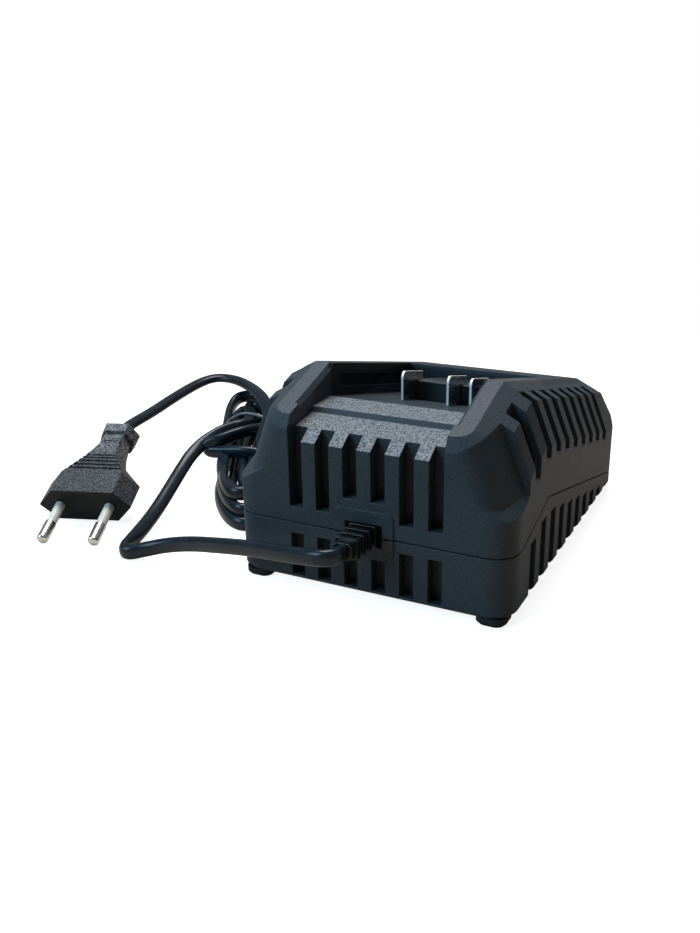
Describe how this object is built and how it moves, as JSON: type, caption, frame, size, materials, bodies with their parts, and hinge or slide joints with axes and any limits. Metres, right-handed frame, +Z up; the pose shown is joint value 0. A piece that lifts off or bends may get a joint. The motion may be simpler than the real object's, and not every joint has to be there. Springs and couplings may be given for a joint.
{
  "type": "power tool battery charger",
  "caption": "Slide-in battery charger: vented two-shell plastic housing with an open contact bay, bright blades and a tied two-pin mains cord.",
  "frame": {"origin": "on the table below the middle of the housing, cord and plug left out", "axes": "+X to the right seen from the cable side, +Y from the cable side to the low end, +Z up"},
  "size_m": [0.1842, 0.1515, 0.0656],
  "materials": {
    "housing_plastic": "fine moulded texture",
    "lower_plastic": "fine moulded texture",
    "foot_rubber": "matt",
    "block_plastic": "satin",
    "contact_metal": "bright nickel plate",
    "screw_steel": "zinc plate",
    "cord_sheath": "gloss",
    "relief_plastic": "satin",
    "plug_plastic": "fine moulded texture",
    "sleeve_plastic": "gloss",
    "pin_metal": "bright nickel plate",
    "tie_wire": "gloss",
    "board_laminate": "gloss solder resist",
    "capacitor_sleeve": "gloss shrink sleeve",
    "choke_winding": "enamelled wire",
    "fuse_plastic": "gloss",
    "component_resin": "moulded resin",
    "ferrite": "matt",
    "winding_tape": "gloss tape",
    "sink_aluminium": "plain sheet",
    "lead_insulation": "gloss",
    "mains_insulation": "gloss"
  },
  "bodies": {
    "root": {"blade_leads": "lead_insulation", "board_screws": "screw_steel", "bridge_rectifier": "component_resin", "circuit_board": "board_laminate", "contact_blade_left": "contact_metal", "contact_blade_middle": "contact_metal", "contact_blade_right": "contact_metal", "cord_from_outlet": "cord_sheath", "cord_hank": "cord_sheath", "cord_tie": "tie_wire", "cord_to_plug": "cord_sheath", "fuse": "fuse_plastic", "heat_sink": "sink_aluminium", "housing_screws": "screw_steel", "input_capacitor": "capacitor_sleeve", "line_choke": "choke_winding", "lower_housing": "lower_plastic", "mains_leads": "mains_insulation", "output_capacitor": "capacitor_sleeve", "plug_body": "plug_plastic", "plug_pins": "pin_metal", "plug_sleeves": "sleeve_plastic", "rubber_feet": "foot_rubber", "strain_relief": "relief_plastic", "switching_transistor": "component_resin", "terminal_block": "block_plastic", "terminal_screws": "screw_steel", "transformer_core": "ferrite", "transformer_winding": "winding_tape", "upper_housing": "housing_plastic"}
  },
  "joints": []
}
